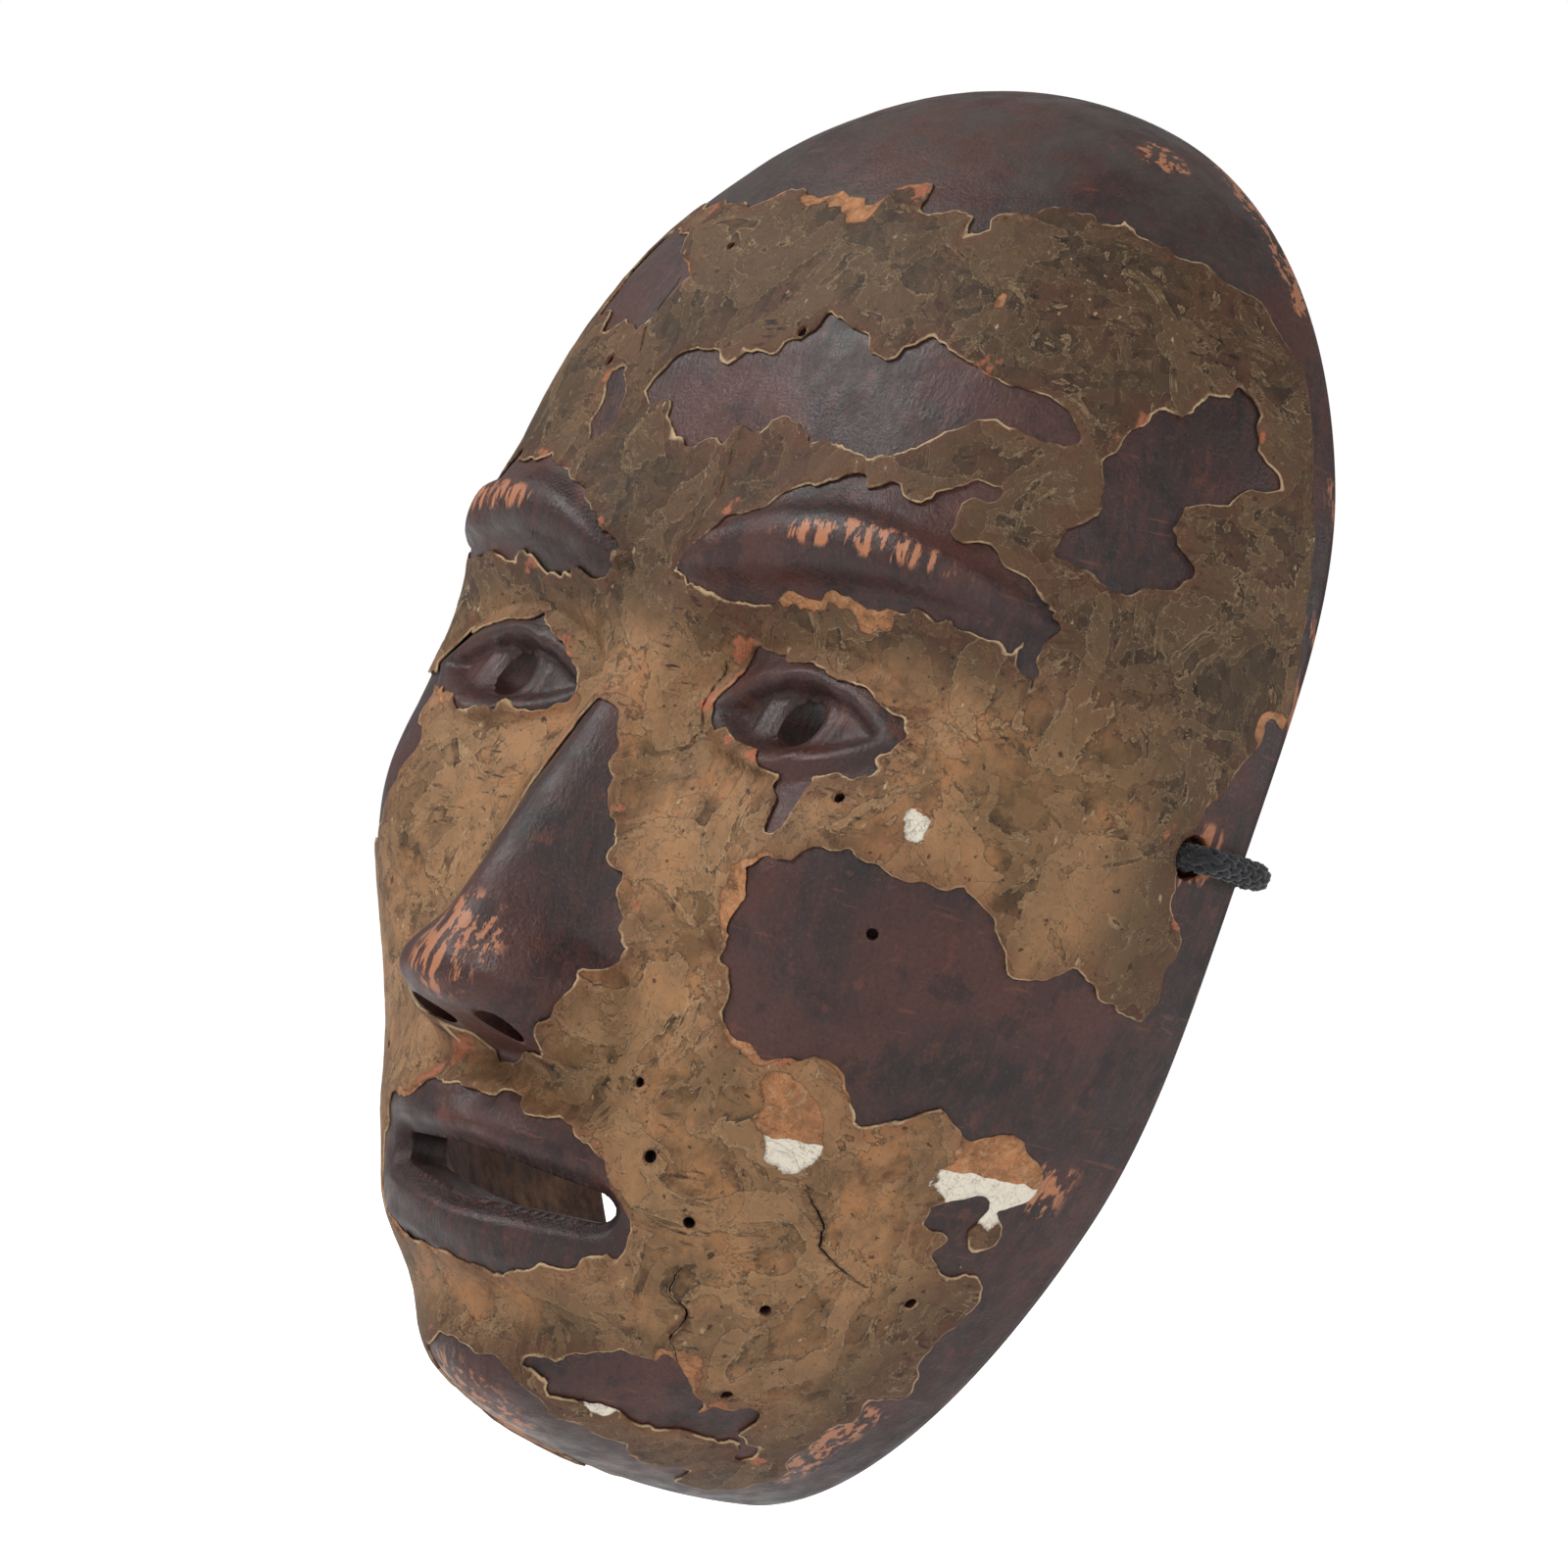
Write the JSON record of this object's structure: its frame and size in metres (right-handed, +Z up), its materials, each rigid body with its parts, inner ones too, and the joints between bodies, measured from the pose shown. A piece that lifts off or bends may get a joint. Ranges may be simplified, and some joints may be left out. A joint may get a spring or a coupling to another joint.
{
  "type": "noh mask",
  "caption": "Carved wooden theatre mask with a flaking painted face, pierced eyes, nostrils and mouth, and a cord tied through a hole at each ear.",
  "frame": {"origin": "in the plane of the rim, midway between the two ear holes", "axes": "+Z up towards the crown, +Y backwards out of the hollow towards the wearer, +X towards the wearer's left; the face looks along -Y"},
  "size_m": [0.1526, 0.0769, 0.212],
  "materials": {
    "wood": "dark lacquered wood, satin, worn at the edges",
    "paint": "thin mottled brown paint on a white shell ground, flaking, half gloss",
    "cord": "black round braided cord, matt",
    "pad": "brown cotton wrapped over padding, matt"
  },
  "bodies": {
    "mask": {"mask_shell": "wood", "forehead_paint": "paint", "left_temple_paint": "paint", "right_temple_paint": "paint", "left_cheek_paint": "paint", "right_cheek_paint": "paint", "upper_lip_paint": "paint", "chin_paint": "paint", "left_rim_loop": "cord", "right_rim_loop": "cord", "left_knot": "cord", "right_knot": "cord", "left_forehead_pad": "pad", "right_forehead_pad": "pad"},
    "cord": {"hanging_cord": "cord"}
  },
  "joints": [
    {"name": "cord_swing", "type": "hinge", "parent": "mask", "child": "cord", "pos_m": [0, -0.006, 0], "axis": [1, 0, 0], "range_deg": [-30, 180]}
  ]
}
